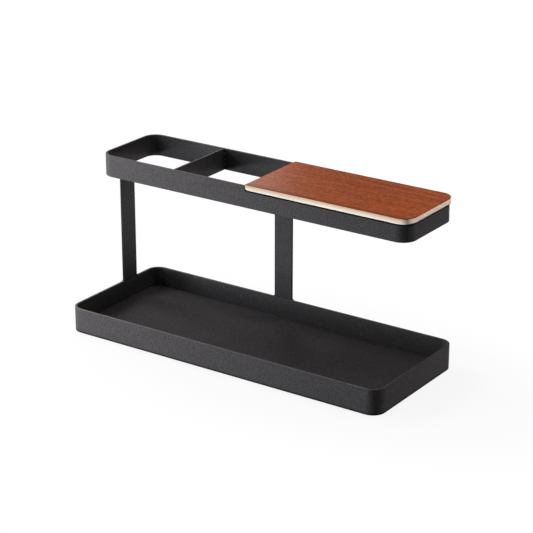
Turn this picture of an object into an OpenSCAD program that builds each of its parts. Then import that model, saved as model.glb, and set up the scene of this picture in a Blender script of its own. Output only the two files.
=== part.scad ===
// Desktop organiser: a low steel tray, two flat uprights, and a raised open ring
// that holds a divider and a veneered plywood panel over its right half.
// Millimetres, Z up, X along the width, Y towards the rear.
// The origin is under the middle of the tray, on the surface that it stands on.

/* [Steel] */
// Thickness of the flat steel in the rim, ring, uprights and divider
steel_t = 2; // [1.6:0.1:3]
// Radius of the weld beads
bead_r = 1.2; // [0.8:0.1:1.8]
// Length of each hidden tack weld
tack_len = 12; // [6:1:20]

/* [Tray] */
// Outer width of the tray
tray_w = 300; // [280:5:360]
// Outer depth of the tray
tray_d = 117; // [105:1:150]
// Height of the rim from its lower to its upper edge
rim_h = 21.3; // [16:0.1:30]
// Outer corner radius of the rim
tray_corner_r = 11; // [8:1:18]
// Height of the floor's upper face above the rim's lower edge
floor_height = 4; // [3.2:0.1:6]
// Thickness of the floor plate
floor_t = 1.2; // [0.8:0.1:1.4]

/* [Feet] */
// Clear height under the rim's lower edge
rim_lift = 1; // [0.5:0.1:3]
// Diameter of the foot pads
pad_d = 12; // [8:1:18]
// Distance from the tray's outer faces to the middle of each pad
pad_inset = 20; // [15:1:30]
// Bevel round the lower edge of each pad
pad_bevel = 0.5; // [0.2:0.1:1]

/* [Uprights] */
// Height of both uprights between the rim and the ring
upright_h = 102.7; // [80:0.1:140]
// Width of both uprights
upright_w = 17.2; // [12:0.1:22]
// Distance from the tray's rear face to the middle of the left upright
left_upright_back = 37.5; // [28:0.5:44]
// Middle of the rear upright, left or right of the tray's middle
rear_upright_x = -13.5; // [-60:0.5:60]

/* [Ring] */
// Distance from the tray's right face to the ring's right face
ring_setback = 4; // [1:0.5:8]
// Outer depth of the ring
ring_d = 71.5; // [64:0.5:90]
// Height of the ring wall
ring_h = 18.5; // [14:0.1:24]
// Outer corner radius of the ring
ring_corner_r = 12; // [10:1:20]
// Clear width of the compartment left of the divider
left_cell_w = 73.2; // [55:0.1:90]
// Number of weld beads at each end of the divider
divider_beads = 3; // [2:1:5]

/* [Panel] */
// Width of the panel
panel_w = 149.5; // [125:0.5:180]
// Corner radius at the panel's right end
panel_corner_r = 11; // [3:1:14]
// Overhang of the panel past the ring's right face
panel_overhang = 0.5; // [0.2:0.1:2]
// Height of the panel's upper face above the ring's upper edge
panel_rise = 1.1; // [0.4:0.1:1.6]
// Gap between the panel and the step in the ring
panel_gap = 0.7; // [0.4:0.1:1.5]
// Rounding along the panel's lower left edge
panel_edge_r = 2.2; // [1:0.1:2.4]
// Thickness of the face veneer and of the back veneer
veneer_t = 0.5; // [0.4:0.1:0.8]
// Thickness of each of the three plies between the veneers
ply_t = 1.2; // [0.8:0.1:1.4]

/* [Panel fixing] */
// Width of the two straps under the panel
strap_w = 16; // [12:1:24]
// Thickness of the straps
strap_t = 2; // [1.6:0.1:3]
// Distance from each end of the panel to the middle of the nearer strap
strap_inset = 30; // [28:1:40]
// Diameter of the panel screws
screw_d = 3; // [2.4:0.1:3.5]
// Radial clearance round each screw in its holes
screw_clearance = 0.1; // [0.05:0.05:0.3]
// Depth of each screw in the panel
screw_grip = 2.4; // [1.5:0.1:2.9]
// Diameter of the screw heads
screw_head_d = 6; // [5:0.1:8]
// Height of the screw heads
screw_head_h = 2; // [1.6:0.1:2.6]
// Distance from the ring's front and rear faces to each screw
screw_inset = 14; // [10:1:24]

/* [Hidden] */
$fn = 96;
over = 1;
coat = "#2b2a2b";
rubber = "#151515";
wood = "#96512f";
edge_wood = "#e0c9a6";
zinc = "#b9bbbd";
ring_w = tray_w - ring_setback;
half_w = tray_w / 2;
half_d = tray_d / 2;
rim_top = rim_lift + rim_h;
floor_z = rim_lift + floor_height - floor_t;
ring_z = rim_top + upright_h;
ring_top = ring_z + ring_h;
ring_front = half_d - ring_d;
ring_mid_x = -ring_setback / 2;
panel_right = half_w - ring_setback + panel_overhang;
ring_mid_y = half_d - ring_d / 2;
ring_inner_d = ring_d - 2 * steel_t;
divider_x = -half_w + steel_t + left_cell_w;
panel_t = 2 * veneer_t + 3 * ply_t;
panel_x = panel_right - panel_w;
panel_z = ring_top + panel_rise - panel_t;
lower_ply_z = panel_z + veneer_t;
core_ply_z = lower_ply_z + ply_t;
upper_ply_z = core_ply_z + ply_t;
face_z = upper_ply_z + ply_t;
notch_r = panel_edge_r + panel_gap;
strap_z = panel_z - strap_t;
left_strap_x = panel_x + strap_inset;
right_strap_x = panel_right - strap_inset;
screw_hole_d = screw_d + 2 * screw_clearance;
screw_head_bevel = screw_head_h / 3;
recess_w = screw_d / 4;
recess_len = screw_head_d * 0.55;
recess_depth = screw_head_h / 2;
bead_len = steel_t * 0.8;
tack_x = half_w * 0.6;
left_upright_y = half_d - left_upright_back;

// Plan outline of a band or plate with four rounded corners
module rounded_rect(w, d, r) {
    square([w - 2 * r, d], center = true);
    square([w, d - 2 * r], center = true);
    for (sx = [-1, 1])
        for (sy = [-1, 1])
            translate([sx * (w / 2 - r), sy * (d / 2 - r)])
                circle(r);
}

// Upright steel band bent to a rounded rectangle
module band(w, d, r, h) {
    linear_extrude(h)
        difference() {
            rounded_rect(w, d, r);
            rounded_rect(w - 2 * steel_t, d - 2 * steel_t, r - steel_t);
        }
}

// Quarter-round weld bead along X; turn picks the corner that it fills
module bead_along_x(length, turn) {
    rotate([0, 90, 0])
        rotate([0, 0, 90 * turn])
            linear_extrude(length, center = true)
                intersection() {
                    circle(bead_r);
                    square(bead_r);
                }
}

// Quarter-round weld bead along Y; turn picks the corner that it fills
module bead_along_y(length, turn) {
    rotate([-90, 0, 0])
        rotate([0, 0, 90 * turn])
            linear_extrude(length, center = true)
                intersection() {
                    circle(bead_r);
                    square(bead_r);
                }
}

// Rim of the tray
module tray_rim() {
    color(coat)
        translate([0, 0, rim_lift])
            band(tray_w, tray_d, tray_corner_r, rim_h);
}

// Plate that closes the tray, set above the rim's lower edge
module tray_floor() {
    color(coat)
        translate([0, 0, floor_z])
            linear_extrude(floor_t)
                rounded_rect(tray_w - 2 * steel_t, tray_d - 2 * steel_t, tray_corner_r - steel_t);
}

// Tack welds under the floor, against the rim
module tray_floor_welds() {
    color(coat) {
        for (x = [-tack_x, 0, tack_x]) {
            translate([x, -half_d + steel_t, floor_z])
                bead_along_x(tack_len, 0);
            translate([x, half_d - steel_t, floor_z])
                bead_along_x(tack_len, 3);
        }
        translate([-half_w + steel_t, 0, floor_z])
            bead_along_y(tack_len, 0);
        translate([half_w - steel_t, 0, floor_z])
            bead_along_y(tack_len, 1);
    }
}

// One pad under the floor plate
module foot_pad(side, end) {
    color(rubber)
        translate([side * (half_w - pad_inset), end * (half_d - pad_inset), 0]) {
            cylinder(h = pad_bevel, d1 = pad_d - 2 * pad_bevel, d2 = pad_d);
            translate([0, 0, pad_bevel])
                cylinder(h = floor_z - pad_bevel, d = pad_d);
        }
}

module foot_pad_front_left() {
    foot_pad(-1, -1);
}

module foot_pad_front_right() {
    foot_pad(1, -1);
}

module foot_pad_rear_left() {
    foot_pad(-1, 1);
}

module foot_pad_rear_right() {
    foot_pad(1, 1);
}

// Flat bar that carries the ring's left wall, in line with both walls
module left_upright() {
    color(coat)
        translate([-half_w, left_upright_y - upright_w / 2, rim_top])
            cube([steel_t, upright_w, upright_h]);
}

// Small beads beside the left upright's butt joints
module left_upright_welds() {
    color(coat)
        translate([-half_w + steel_t / 2, left_upright_y, 0]) {
            translate([0, -upright_w / 2, rim_top])
                bead_along_x(bead_len, 2);
            translate([0, upright_w / 2, rim_top])
                bead_along_x(bead_len, 1);
            translate([0, -upright_w / 2, ring_z])
                bead_along_x(bead_len, 3);
            translate([0, upright_w / 2, ring_z])
                bead_along_x(bead_len, 0);
        }
}

// Flat bar that carries the ring's rear wall, in line with both walls
module rear_upright() {
    color(coat)
        translate([rear_upright_x - upright_w / 2, half_d - steel_t, rim_top])
            cube([upright_w, steel_t, upright_h]);
}

// Small beads beside the rear upright's butt joints
module rear_upright_welds() {
    color(coat)
        translate([rear_upright_x, half_d - steel_t / 2, 0]) {
            translate([-upright_w / 2, 0, rim_top])
                bead_along_y(bead_len, 2);
            translate([upright_w / 2, 0, rim_top])
                bead_along_y(bead_len, 3);
            translate([-upright_w / 2, 0, ring_z])
                bead_along_y(bead_len, 1);
            translate([upright_w / 2, 0, ring_z])
                bead_along_y(bead_len, 0);
        }
}

// Space cut from the ring wall for the panel, with a rounded lower corner
module panel_notch() {
    notch_x = panel_x - panel_gap;
    notch_z = panel_z - panel_gap;
    notch_w = panel_right + over - notch_x;
    notch_h = ring_top + over - notch_z;
    translate([0, half_d + over, 0])
        rotate([90, 0, 0])
            linear_extrude(ring_d + 2 * over) {
                translate([notch_x + notch_r, notch_z])
                    square([notch_w - notch_r, notch_h]);
                translate([notch_x, notch_z + notch_r])
                    square([notch_w, notch_h - notch_r]);
                translate([notch_x + notch_r, notch_z + notch_r])
                    circle(notch_r);
            }
}

// Raised ring, open through its height, with a step for the panel
module upper_ring() {
    color(coat)
        difference() {
            translate([ring_mid_x, ring_mid_y, ring_z])
                band(ring_w, ring_d, ring_corner_r, ring_h);
            panel_notch();
        }
}

// Flat bar across the ring, as tall as the ring wall
module ring_divider() {
    color(coat)
        translate([divider_x, ring_front + steel_t, ring_z])
            cube([steel_t, ring_inner_d, ring_h]);
}

// Beads on the divider's right side, at its front and rear ends
module divider_welds() {
    step = ring_h / (divider_beads + 1);
    color(coat)
        for (i = [1 : divider_beads])
            translate([divider_x + steel_t, 0, ring_z + i * step]) {
                translate([0, half_d - steel_t, 0])
                    intersection() {
                        sphere(bead_r);
                        translate([0, -bead_r - over, -bead_r - over])
                            cube([bead_r + over, bead_r + over, 2 * (bead_r + over)]);
                    }
                translate([0, ring_front + steel_t, 0])
                    intersection() {
                        sphere(bead_r);
                        translate([0, 0, -bead_r - over])
                            cube([bead_r + over, bead_r + over, 2 * (bead_r + over)]);
                    }
            }
}

// Places one thing at each of the two screws of a strap
module at_screws(x) {
    for (y = [ring_front + screw_inset, half_d - screw_inset])
        translate([x, y, 0])
            children();
}

// Holes for the four panel screws, through the straps and into the panel
module screw_holes() {
    for (x = [left_strap_x, right_strap_x])
        at_screws(x)
            translate([0, 0, strap_z - over])
                cylinder(h = strap_t + screw_grip + screw_clearance + over, d = screw_hole_d);
}

// Flat strap across the ring that carries one end of the panel
module panel_strap(x) {
    color(coat)
        difference() {
            translate([x - strap_w / 2, ring_front + steel_t, strap_z])
                cube([strap_w, ring_inner_d, strap_t]);
            screw_holes();
        }
}

module panel_strap_left() {
    panel_strap(left_strap_x);
}

module panel_strap_right() {
    panel_strap(right_strap_x);
}

// Tack welds under both ends of each strap
module panel_strap_welds() {
    color(coat)
        for (x = [left_strap_x, right_strap_x]) {
            translate([x, ring_front + steel_t, strap_z])
                bead_along_x(min(tack_len, strap_w - 2 * over), 0);
            translate([x, half_d - steel_t, strap_z])
                bead_along_x(min(tack_len, strap_w - 2 * over), 3);
        }
}

// Plan outline of the panel: square left end, rounded right corners
module panel_outline() {
    translate([panel_x, ring_front])
        square([panel_w - panel_corner_r, ring_d]);
    translate([panel_x, ring_front + panel_corner_r])
        square([panel_w, ring_d - 2 * panel_corner_r]);
    for (y = [ring_front + panel_corner_r, half_d - panel_corner_r])
        translate([panel_right - panel_corner_r, y])
            circle(panel_corner_r);
}

// Waste outside the rounding along the panel's lower left edge
module panel_edge_waste() {
    translate([0, half_d + over, 0])
        rotate([90, 0, 0])
            linear_extrude(ring_d + 2 * over)
                difference() {
                    translate([panel_x - over, panel_z - over])
                        square(panel_edge_r + over);
                    translate([panel_x + panel_edge_r, panel_z + panel_edge_r])
                        circle(panel_edge_r);
                }
}

// One layer of the panel
module panel_layer(z, t) {
    difference() {
        translate([0, 0, z])
            linear_extrude(t)
                panel_outline();
        panel_edge_waste();
        screw_holes();
    }
}

module panel_back_veneer() {
    color(edge_wood)
        panel_layer(panel_z, veneer_t);
}

module panel_lower_ply() {
    color(edge_wood)
        panel_layer(lower_ply_z, ply_t);
}

module panel_core_ply() {
    color(edge_wood)
        panel_layer(core_ply_z, ply_t);
}

module panel_upper_ply() {
    color(edge_wood)
        panel_layer(upper_ply_z, ply_t);
}

module panel_face_veneer() {
    color(wood)
        panel_layer(face_z, veneer_t);
}

// Four screws that hold the panel on the straps from below
module panel_screws() {
    head_r = screw_head_d / 2;
    color(zinc)
        for (x = [left_strap_x, right_strap_x])
            at_screws(x)
                translate([0, 0, strap_z - screw_head_h])
                    difference() {
                        rotate_extrude()
                            polygon([
                                [0, 0],
                                [head_r - screw_head_bevel, 0],
                                [head_r, screw_head_bevel],
                                [head_r, screw_head_h],
                                [screw_d / 2, screw_head_h],
                                [screw_d / 2, screw_head_h + strap_t + screw_grip],
                                [0, screw_head_h + strap_t + screw_grip]
                            ]);
                        translate([-recess_len / 2, -recess_w / 2, -over])
                            cube([recess_len, recess_w, recess_depth + over]);
                        translate([-recess_w / 2, -recess_len / 2, -over])
                            cube([recess_w, recess_len, recess_depth + over]);
                    }
}

tray_rim();
tray_floor();
tray_floor_welds();
foot_pad_front_left();
foot_pad_front_right();
foot_pad_rear_left();
foot_pad_rear_right();
left_upright();
left_upright_welds();
rear_upright();
rear_upright_welds();
upper_ring();
ring_divider();
divider_welds();
panel_strap_left();
panel_strap_right();
panel_strap_welds();
panel_back_veneer();
panel_lower_ply();
panel_core_ply();
panel_upper_ply();
panel_face_veneer();
panel_screws();
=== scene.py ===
import bpy
import math
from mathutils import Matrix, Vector


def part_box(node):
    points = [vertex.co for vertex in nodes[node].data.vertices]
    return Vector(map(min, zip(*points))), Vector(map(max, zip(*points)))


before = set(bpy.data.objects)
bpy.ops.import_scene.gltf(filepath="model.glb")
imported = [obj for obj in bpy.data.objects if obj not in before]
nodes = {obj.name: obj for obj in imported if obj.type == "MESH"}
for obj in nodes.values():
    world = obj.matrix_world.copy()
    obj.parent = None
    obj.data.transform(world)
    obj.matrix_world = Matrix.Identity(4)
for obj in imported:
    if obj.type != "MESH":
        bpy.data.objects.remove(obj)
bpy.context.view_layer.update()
scene = bpy.context.scene

# Lengths are in metres, angles of places in degrees, powers in watts, and colours are linear RGB.

# The Mix node's sockets for colours, which share their names with its sockets for numbers.
MIX_FACTOR, MIX_A, MIX_B, MIX_RESULT = 0, 6, 7, 2

# Parts of the normal between which a surface comes to face one way.
UP = (0.55, 0.95)
DOWN = (-0.5, -0.9)
FRONT = (-0.4, -0.8)
EDGE = (0.1, 0.5)


# Node helpers. Every material is built from nodes, and every texture reads object coordinates.

def empty_tree(owner, output):
    """The emptied node tree of a material or world, and its new output node."""
    owner.use_nodes = True
    tree = owner.node_tree
    tree.nodes.clear()
    return tree, tree.nodes.new(output)


def feed(tree, socket, value):
    """Link an output to a socket, or set the socket to a number or a colour."""
    if hasattr(value, "is_output"):
        tree.links.new(value, socket)
    elif isinstance(value, (int, float)):
        socket.default_value = value
    else:
        socket.default_value = (*value, 1)


def feed_all(tree, node, **values):
    """Feed a node's sockets by name, with _ for each space in a name."""
    for name, value in values.items():
        feed(tree, node.inputs[name.replace("_", " ")], value)


def material(name):
    """A new material with one principled shader."""
    mat = bpy.data.materials.new(name)
    tree, out = empty_tree(mat, "ShaderNodeOutputMaterial")
    bsdf = tree.nodes.new("ShaderNodeBsdfPrincipled")
    feed(tree, out.inputs["Surface"], bsdf.outputs["BSDF"])
    return mat, tree, bsdf


def place(tree, scale=(1, 1, 1), location=(0, 0, 0), rotation=(0, 0, 0)):
    """Object coordinates, stretched, moved and turned."""
    coord = tree.nodes.new("ShaderNodeTexCoord")
    mapping = tree.nodes.new("ShaderNodeMapping")
    mapping.inputs["Location"].default_value = location
    mapping.inputs["Rotation"].default_value = rotation
    mapping.inputs["Scale"].default_value = scale
    feed(tree, mapping.inputs["Vector"], coord.outputs["Object"])
    return mapping.outputs["Vector"]


def noise(tree, vector, scale=1.0, detail=2.0, roughness=0.5, distortion=0.0):
    """Soft noise, mostly between 0.2 and 0.8."""
    node = tree.nodes.new("ShaderNodeTexNoise")
    feed_all(tree, node, Vector=vector, Scale=scale, Detail=detail, Roughness=roughness,
             Distortion=distortion)
    return node.outputs["Fac"]


def ramp(tree, value, *stops):
    """A colour ramp; each stop is a position and its grey or colour."""
    node = tree.nodes.new("ShaderNodeValToRGB")
    while len(node.color_ramp.elements) < len(stops):
        node.color_ramp.elements.new(0.5)
    for element, (position, colour) in zip(node.color_ramp.elements, stops):
        element.position = position
        if isinstance(colour, (int, float)):
            colour = (colour,) * 3
        element.color = (*colour, 1)
    feed(tree, node.inputs["Fac"], value)
    return node.outputs["Color"]


def mix(tree, kind, factor, a, b):
    """Two colours mixed, multiplied or added."""
    node = tree.nodes.new("ShaderNodeMix")
    node.data_type = "RGBA"
    node.blend_type = kind
    for socket, value in ((MIX_FACTOR, factor), (MIX_A, a), (MIX_B, b)):
        feed(tree, node.inputs[socket], value)
    return node.outputs[MIX_RESULT]


def times(tree, colour, factor):
    """A colour multiplied by another or by a grey."""
    return mix(tree, "MULTIPLY", 1.0, colour, factor)


def maths(tree, operation, *values):
    """A number worked out from others."""
    node = tree.nodes.new("ShaderNodeMath")
    node.operation = operation
    for socket, value in zip(node.inputs, values):
        feed(tree, socket, value)
    return node.outputs[0]


def spread(tree, value, start, end, at_start, at_end):
    """A smooth step between two numbers, as a value goes from start to end."""
    node = tree.nodes.new("ShaderNodeMapRange")
    node.interpolation_type = "SMOOTHSTEP"
    feed_all(tree, node, Value=value, From_Min=start, From_Max=end, To_Min=at_start, To_Max=at_end)
    return node.outputs["Result"]


def parts(tree, vector):
    """A vector's parts, by the names X, Y and Z."""
    node = tree.nodes.new("ShaderNodeSeparateXYZ")
    feed(tree, node.inputs[0], vector)
    return node.outputs


def normal_parts(tree):
    """The parts of the surface's normal."""
    return parts(tree, tree.nodes.new("ShaderNodeNewGeometry").outputs["Normal"])


def facing(tree, axis, start, end):
    """0 to 1 as the surface turns to face along an axis."""
    return spread(tree, normal_parts(tree)[axis], start, end, 0.0, 1.0)


def squared_off(tree, power=5.0):
    """The normal, turned towards the nearer of front, rear and sides, as on a tight corner."""
    normal = normal_parts(tree)
    joined = tree.nodes.new("ShaderNodeCombineXYZ")
    for axis in "XY":
        feed(tree, joined.inputs[axis], maths(tree, "POWER", normal[axis], power))
    feed(tree, joined.inputs["Z"], normal["Z"])
    unit = tree.nodes.new("ShaderNodeVectorMath")
    unit.operation = "NORMALIZE"
    feed(tree, unit.inputs[0], joined.outputs[0])
    return unit.outputs["Vector"]


def bump(tree, bsdf, height, strength, distance, normal=None):
    """Relief on a shader, over the surface's own normal or another."""
    node = tree.nodes.new("ShaderNodeBump")
    feed_all(tree, node, Height=height, Strength=strength, Distance=distance)
    if normal:
        feed(tree, node.inputs["Normal"], normal)
    feed(tree, bsdf.inputs["Normal"], node.outputs["Normal"])


# Materials. A stretch is an axis, its start and end, and the factors there.

def powder_coat(name, base, top_highlight=None, highlight_fades=(), edge=None, light_and_shade_bands=(), inner_wall_shade=None, seat_shade=None, speck=None):
    """Black coat with a fine even grain.

    top_highlight: tone of a painted highlight on the edges that face up. highlight_fades: stretches where
    that painted highlight fades.
    edge: axis, sign and tone of painted shade on the narrow edges that face one way.
    light_and_shade_bands: stretches where painted light and shade change the whole tone.
    inner_wall_shade: where a rear wall's inner face begins and ends in Y, and the stretch along its height
    over which painted shade darkens it.
    seat_shade: left end and height of the ledge that the panel lies over, painted near black as the shade
    under the panel.
    speck: light that sparse specks add.
    """
    mat, tree, bsdf = material(name)
    here = parts(tree, place(tree))
    grain = noise(tree, place(tree, rotation=(0.6, 0.4, 0.9)), scale=1150, roughness=0.6)
    cloud = noise(tree, place(tree, location=(0.3, 0.1, 0.7)), scale=60)
    tone = base
    # Painted highlight on the edges that face up.
    if top_highlight:
        share = facing(tree, "Z", *UP)
        for axis, *stretch in highlight_fades:
            share = maths(tree, "MULTIPLY", share, spread(tree, here[axis], *stretch))
        tone = mix(tree, "MIX", share, tone, top_highlight)
    # Painted shade on the narrow edges that face one way.
    if edge:
        axis, sign, edge_shade = edge
        tone = mix(tree, "MIX", facing(tree, axis, *(sign * part for part in EDGE)), tone, edge_shade)
    # Painted light and shade, stretch by stretch.
    for axis, *stretch in light_and_shade_bands:
        tone = times(tree, tone, spread(tree, here[axis], *stretch))
    # Painted shade on a rear wall's inner face, deeper lower down.
    if inner_wall_shade:
        begins, ends, (axis, *stretch) = inner_wall_shade
        rear = spread(tree, here["Y"], begins, ends, 0.0, 1.0)
        share = maths(tree, "MULTIPLY", rear, facing(tree, "Y", *FRONT))
        tone = mix(tree, "MULTIPLY", share, tone, spread(tree, here[axis], *stretch))
    # Painted shade: the ledge under the panel is made near black.
    if seat_shade:
        left, height = seat_shade
        beyond = spread(tree, here["X"], left - 0.0005, left, 0.0, 1.0)
        above = spread(tree, here["Z"], height - 0.0010, height - 0.0004, 0.0, 1.0)
        tone = mix(tree, "MIX", maths(tree, "MULTIPLY", beyond, above), tone, (0.010, 0.010, 0.010))
    tone = times(tree, tone, ramp(tree, grain, (0.30, 0.60), (0.70, 1.40)))
    tone = times(tree, tone, ramp(tree, cloud, (0.25, 0.96), (0.75, 1.04)))
    if speck:
        dust = noise(tree, place(tree, rotation=(0.3, 0.7, 0.2)), scale=640, detail=1.0)
        tone = mix(tree, "ADD", 1.0, tone, ramp(tree, dust, (0.62, 0.0), (0.76, speck)))
    roughness = ramp(tree, grain, (0.2, 0.52), (0.8, 0.64))
    feed_all(tree, bsdf, Base_Color=tone, Roughness=roughness, Specular_IOR_Level=0.012)
    bump(tree, bsdf, grain, strength=0.25, distance=0.0004)
    return mat


def rubber(name):
    """Matt black rubber."""
    mat, tree, bsdf = material(name)
    grain = noise(tree, place(tree), scale=1200)
    feed_all(tree, bsdf, Base_Color=ramp(tree, grain, (0.3, 0.012), (0.7, 0.024)), Roughness=0.8)
    bump(tree, bsdf, grain, strength=0.2, distance=0.0003)
    return mat


def veneer(name, low, high):
    """Reddish stained veneer with its grain along X; low and high are the corners of its box."""
    mat, tree, bsdf = material(name)
    here = parts(tree, place(tree))
    figure = noise(tree, place(tree, (13, 38, 38), (0.2, 0.4, 0)))
    streak = noise(tree, place(tree, (8, 340, 340), (0.1, 0.7, 0.35)), roughness=0.55, distortion=0.35)
    fibre = noise(tree, place(tree, (55, 600, 600), (0.4, 0.6, 0.75)), detail=1.0)
    fleck = noise(tree, place(tree, (400, 900, 900), (0.5, 0.2, 0.35)), detail=1.0)
    pore = noise(tree, place(tree, (260, 2000, 2000), (0.9, 0.3, 0.3)), detail=1.0)
    tone = ramp(tree, streak, (0.30, (0.308, 0.054, 0.0065)), (0.5, (0.372, 0.069, 0.008)),
                (0.70, (0.434, 0.086, 0.011)))
    tone = times(tree, tone, ramp(tree, figure, (0.30, 0.86), (0.70, 1.10)))
    tone = times(tree, tone, ramp(tree, fibre, (0.30, 0.86), (0.70, 1.15)))
    tone = times(tree, tone, ramp(tree, fleck, (0.28, 0.70), (0.50, 1.0), (0.72, 1.16)))
    tone = times(tree, tone, ramp(tree, pore, (0.26, 0.62), (0.36, 1.0)))
    tone = mix(tree, "ADD", 1.0, tone, ramp(tree, fleck, (0.50, 0.0), (0.74, (0.050, 0.038, 0.030))))
    right, front, rear = high[0], low[1], high[1]
    # Darker along the front and rear edges, and lighter towards the right end as painted light.
    for axis, *stretch in (
        ("Y", front + 0.0005, front + 0.0050, 0.62, 1.0),
        ("Y", front, front + 0.020, 0.90, 1.0),
        ("Y", rear - 0.0030, rear - 0.0005, 1.0, 0.85),
        ("X", right - 0.06, right, 1.0, 1.12),
    ):
        tone = times(tree, tone, spread(tree, here[axis], *stretch))
    roughness = ramp(tree, fleck, (0.2, 0.28), (0.8, 0.38))
    feed_all(tree, bsdf, Base_Color=tone, Roughness=roughness, Specular_IOR_Level=0.010)
    bump(tree, bsdf, times(tree, fleck, pore), strength=0.12, distance=0.0002)
    return mat


def ply(name, left, grain, front, side, under=None):
    """Pale ply that gets darker towards its left end.

    grain: how the grain is stretched. front, side, under: tones of its front and side edges and underside.
    The side tone is painted light, paler than the front on the plies' right ends, and on the back veneer
    painted shade under the panel.
    """
    mat, tree, bsdf = material(name)
    line = noise(tree, place(tree, grain), detail=3.0, roughness=0.6)
    normal = squared_off(tree)
    sideways = parts(tree, normal)["X"]
    # The side tone is painted light, and on the back veneer painted shade.
    tone = mix(tree, "MIX", maths(tree, "MULTIPLY", sideways, sideways), front, side)
    if under:
        tone = mix(tree, "MIX", facing(tree, "Z", *DOWN), tone, under)
    tone = times(tree, tone, spread(tree, parts(tree, place(tree))["X"], left, left + 0.12, 0.70, 1.0))
    tone = times(tree, tone, ramp(tree, line, (0.3, 0.90), (0.7, 1.08)))
    feed_all(tree, bsdf, Base_Color=tone, Roughness=0.6, Specular_IOR_Level=0.25)
    bump(tree, bsdf, line, strength=0.1, distance=0.0002, normal=normal)
    return mat


def zinc(name):
    """Bright zinc."""
    mat, tree, bsdf = material(name)
    grain = noise(tree, place(tree), scale=1500)
    tone = ramp(tree, grain, (0.3, (0.42, 0.43, 0.44)), (0.7, (0.58, 0.59, 0.60)))
    feed_all(tree, bsdf, Base_Color=tone, Metallic=1.0, Roughness=ramp(tree, grain, (0.2, 0.28), (0.8, 0.42)))
    bump(tree, bsdf, grain, strength=0.1, distance=0.0001)
    return mat


COAT = (0.0515, 0.0493, 0.0528)
# Tones of the painted highlights on the top edges of the tray rim, the ring and the divider.
RIM_TOP_HIGHLIGHT = (0.148, 0.134, 0.127)
RING_TOP_HIGHLIGHT = (0.138, 0.125, 0.118)
DIVIDER_TOP_HIGHLIGHT = (0.096, 0.087, 0.083)
SEAT_GAP = 0.0007

rim_low, rim_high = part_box("tray_rim")
ring_low, ring_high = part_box("upper_ring")
back_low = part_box("panel_back_veneer")[0]
ply_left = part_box("panel_core_ply")[0][0]
rim_left, rim_front, rim_bottom = rim_low
rim_right, rim_rear, rim_top = rim_high
ring_bottom, ring_rear, ring_top = ring_low[2], ring_high[1], ring_high[2]

coat = powder_coat("coated_steel", COAT)
pad_rubber = rubber("foot_rubber")
finishes = {
    # Tray rim: painted highlight on its top edges, fading towards the right end; painted shade along its
    # bottom edge and on its rear wall; painted light on its front face.
    "tray_rim": powder_coat(
        "coated_rim", COAT, RIM_TOP_HIGHLIGHT,
        highlight_fades=[("X", rim_left, rim_right - 0.12, 1.0, 0.50),
               ("X", rim_right - 0.014, rim_right - 0.003, 1.0, 0.12)],
        light_and_shade_bands=[("Z", rim_bottom + 0.0002, rim_bottom + 0.0026, 0.20, 1.0),
               ("Y", rim_front, rim_front + 0.002, 1.08, 1.0),
               ("Y", rim_rear - 0.010, rim_rear - 0.004, 1.0, 0.85)]),
    # Tray floor: a darker copy of the coat as painted shade, with light specks.
    "tray_floor": powder_coat("coated_floor", (0.0415, 0.0386, 0.0412), speck=(0.030, 0.029, 0.030)),
    # Left upright: painted shade on its narrow front edge; painted light and shade along its height, dark at
    # the foot and under the ring, lighter in between.
    "left_upright": powder_coat(
        "coated_bar", COAT, edge=("Y", -1, (0.013, 0.012, 0.011)),
        light_and_shade_bands=[("Z", rim_top, rim_top + 0.040, 0.86, 1.40),
               ("Z", rim_top, rim_top + 0.020, 0.75, 1.0),
               ("Z", ring_bottom - 0.045, ring_bottom, 1.0, 0.58)]),
    # Rear upright: a darker copy of the coat as painted shade, with painted shade towards its bottom and on
    # its narrow right edge.
    "rear_upright": powder_coat(
        "coated_rear_bar", (0.0418, 0.0400, 0.0428), edge=("X", 1, (0.008, 0.008, 0.008)),
        light_and_shade_bands=[("Z", rim_top, rim_top + 0.040, 0.74, 1.0)]),
    # Upper ring: painted highlight on its top edges, painted shade low on its rear wall's inner face and on
    # the ledge under the panel.
    "upper_ring": powder_coat(
        "coated_ring", COAT, RING_TOP_HIGHLIGHT,
        inner_wall_shade=(ring_rear - 0.0045, ring_rear - 0.0035, ("Z", ring_bottom, ring_top, 0.58, 1.08)),
        seat_shade=(back_low[0] - SEAT_GAP, back_low[2] - SEAT_GAP)),
    # Divider: painted highlight on its top edge.
    "ring_divider": powder_coat("coated_divider", COAT, DIVIDER_TOP_HIGHLIGHT),
    "divider_welds": powder_coat("coated_weld", (0.095, 0.088, 0.086)),
    "foot_pad_front_left": pad_rubber,
    "foot_pad_front_right": pad_rubber,
    "foot_pad_rear_left": pad_rubber,
    "foot_pad_rear_right": pad_rubber,
    "panel_face_veneer": veneer("face_veneer", *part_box("panel_face_veneer")),
    # Each ply's side tone is painted light; the back veneer's side tone is painted shade.
    "panel_upper_ply": ply("upper_ply", ply_left, (60, 900, 900), (0.64, 0.45, 0.31), (0.97, 0.80, 0.60)),
    "panel_core_ply": ply("core_ply", ply_left, (900, 60, 900), (0.70, 0.57, 0.43), (0.95, 0.81, 0.69)),
    "panel_lower_ply": ply("lower_ply", ply_left, (60, 900, 900), (0.82, 0.76, 0.65), (0.90, 0.76, 0.65)),
    "panel_back_veneer": ply("back_veneer", ply_left, (40, 900, 900), (0.90, 0.87, 0.80), (0.11, 0.09, 0.08),
                             under=(0.74, 0.55, 0.37)),
    "panel_screws": zinc("zinc_screw"),
}

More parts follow.
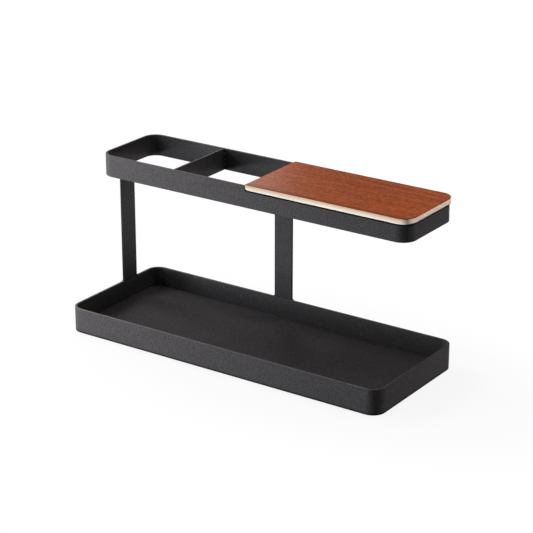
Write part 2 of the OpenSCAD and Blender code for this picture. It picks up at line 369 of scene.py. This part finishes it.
# Width of the rounding on each node's sharp edges.
roundings = {
    "tray_rim": 0.0005, "upper_ring": 0.0005, "left_upright": 0.0004, "rear_upright": 0.0004,
    "ring_divider": 0.0005, "tray_floor": 0.0002, "panel_strap_left": 0.0003, "panel_strap_right": 0.0003,
    "panel_face_veneer": 0.00015, "panel_upper_ply": 0.00004, "panel_core_ply": 0.00004,
    "panel_lower_ply": 0.00004, "panel_back_veneer": 0.00012, "panel_screws": 0.00012,
}
JOIN_DISTANCE = 0.000002
ROUNDING_STEPS = 3
SHARP_ANGLE = math.radians(40)

for name, obj in nodes.items():
    obj.data.materials.clear()
    obj.data.materials.append(finishes.get(name, coat))
    if name in roundings:
        obj.modifiers.new("join", "WELD").merge_threshold = JOIN_DISTANCE
        bevel = obj.modifiers.new("edge", "BEVEL")
        bevel.width = roundings[name]
        bevel.segments = ROUNDING_STEPS
        bevel.limit_method = "ANGLE"
        bevel.angle_limit = SHARP_ANGLE
        obj.modifiers.new("normals", "WEIGHTED_NORMAL").keep_sharp = False


# Floor and background: white where they are seen or mirrored, and a weak grey light on the object.

WHITE = (1, 1, 1)
FLOOR_SEEN = (0.9, 0.9, 0.9)
FLOOR_BOUNCE = (0.35, 0.35, 0.35)
WORLD_FILL = 0.05


def seen_rays(tree):
    """1 for camera, glossy and transmission rays, 0 for light that falls on the object."""
    path = tree.nodes.new("ShaderNodeLightPath")
    mirrored = maths(tree, "MAXIMUM", path.outputs["Is Glossy Ray"], path.outputs["Is Transmission Ray"])
    return maths(tree, "MAXIMUM", path.outputs["Is Camera Ray"], mirrored)


def floor_material(name):
    """White floor that takes the object's shadow near it and is plain white further out."""
    mat = bpy.data.materials.new(name)
    tree, out = empty_tree(mat, "ShaderNodeOutputMaterial")
    seen = seen_rays(tree)
    diffuse = tree.nodes.new("ShaderNodeBsdfDiffuse")
    feed(tree, diffuse.inputs["Color"], mix(tree, "MIX", seen, FLOOR_BOUNCE, FLOOR_SEEN))
    glow = tree.nodes.new("ShaderNodeEmission")
    feed(tree, glow.inputs["Strength"], 1.0)
    reach = tree.nodes.new("ShaderNodeVectorMath")
    reach.operation = "LENGTH"
    feed(tree, reach.inputs[0], place(tree, (1, 2.2, 1)))
    plain = spread(tree, reach.outputs["Value"], 0.16, 0.36, 0.89, 1.0)
    blend = tree.nodes.new("ShaderNodeMixShader")
    feed(tree, blend.inputs[0], maths(tree, "MULTIPLY", seen, plain))
    feed(tree, blend.inputs[1], diffuse.outputs[0])
    feed(tree, blend.inputs[2], glow.outputs[0])
    feed(tree, out.inputs["Surface"], blend.outputs[0])
    return mat


bpy.ops.mesh.primitive_plane_add(size=40, location=(0, 0, -0.0001))
floor = bpy.context.object
floor.name = "studio_floor"
floor.data.materials.append(floor_material("studio_floor"))

scene.world = bpy.data.worlds.new("studio")
tree, out = empty_tree(scene.world, "ShaderNodeOutputWorld")
back = tree.nodes.new("ShaderNodeBackground")
strength = spread(tree, seen_rays(tree), 0.0, 1.0, WORLD_FILL, 1.0)
feed_all(tree, back, Color=WHITE, Strength=strength)
feed(tree, out.inputs["Surface"], back.outputs[0])


# Lamps and camera.

def around(azimuth, elevation, distance):
    """A way out from the object; azimuth 0 is to the front and 90 to the right."""
    a, e = math.radians(azimuth), math.radians(elevation)
    return Vector((math.sin(a) * math.cos(e), -math.cos(a) * math.cos(e), math.sin(e))) * distance


def put(name, data, at, direction):
    """A lamp or camera in the scene, looking in a direction."""
    obj = bpy.data.objects.new(name, data)
    obj.location = at
    obj.rotation_mode = "QUATERNION"
    obj.rotation_quaternion = direction.to_track_quat("-Z", "Y")
    scene.collection.objects.link(obj)
    return obj


def softbox(name, at, aim, size, power, tint=WHITE):
    """A flat lamp that the camera doesn't see."""
    data = bpy.data.lights.new(name, "AREA")
    data.shape = "RECTANGLE"
    data.size, data.size_y = size
    data.energy = power
    data.color = tint
    put(name, data, at, aim - at).visible_camera = False


MID = Vector((0, 0, 0.08))
LOW = Vector((0, 0, 0.03))
HIGH = Vector((0, 0, 0.26))
ABOVE = Vector((0, 0, 1))
JUST_OVER_FLOOR = Vector((0, 0, 0.002))
WARM = (1.0, 0.95, 0.89)
SQUARE = (0.35, 0.35)
WIDE = (0.35, 0.20)
STRIP = (0.25, 0.05)
CARD = (0.34, 0.34)

softbox("upper_left", around(-90, 34, 1.0) + MID, MID, SQUARE, 4.8)
softbox("top", around(0, 89, 1.0) + MID, MID, SQUARE, 1.7)
softbox("right_rear", around(135, 58, 1.0) + MID, MID, SQUARE, 1.7, WARM)
softbox("front", around(-45, 4, 1.0) + MID, MID, WIDE, 4.3)
softbox("front_low", around(-30, 0, 0.80) + LOW, LOW, STRIP, 1.8)
softbox("left_low", around(-45, 0, 0.45) + LOW, LOW, STRIP, 0.95)
softbox("left_high", around(-45, 0, 0.45) + HIGH, MID, STRIP, 0.55)
softbox("right_low", around(118, 0, 0.50) + LOW, LOW, STRIP, 0.75, WARM)
softbox("left", around(-85, 8, 0.7) + MID, MID, (0.25, 0.10), 0.35)
softbox("sheen", Vector((-0.305, 0.375, 0.315)), Vector((0.01, 0.02, 0.145)), (0.12, 0.12), 0.42)
for name, azimuth, power in (("card_left", -60, 8.2), ("card_rear", 180, 9.3)):
    at = around(azimuth, 0, 0.62) + JUST_OVER_FLOOR
    softbox(name, at, at + ABOVE, CARD, power)

# The camera is fitted to the photograph's straight edges.
CAMERA_AZIMUTH, CAMERA_ELEVATION, CAMERA_DISTANCE = 34.513, 21.116, 1.5204
CAMERA_AIM = Vector((0.00857, 0.0, 0.07387))
FOCAL_PIXELS, PHOTO_PIXELS, SENSOR_WIDTH_MM = 1897.17, 533, 36

camera_data = bpy.data.cameras.new("camera")
camera_data.sensor_width = SENSOR_WIDTH_MM
camera_data.lens = FOCAL_PIXELS * SENSOR_WIDTH_MM / PHOTO_PIXELS
outward = around(CAMERA_AZIMUTH, CAMERA_ELEVATION, 1.0)
scene.camera = put("camera", camera_data, CAMERA_AIM + outward * CAMERA_DISTANCE, -outward)
scene.view_settings.view_transform = "Standard"
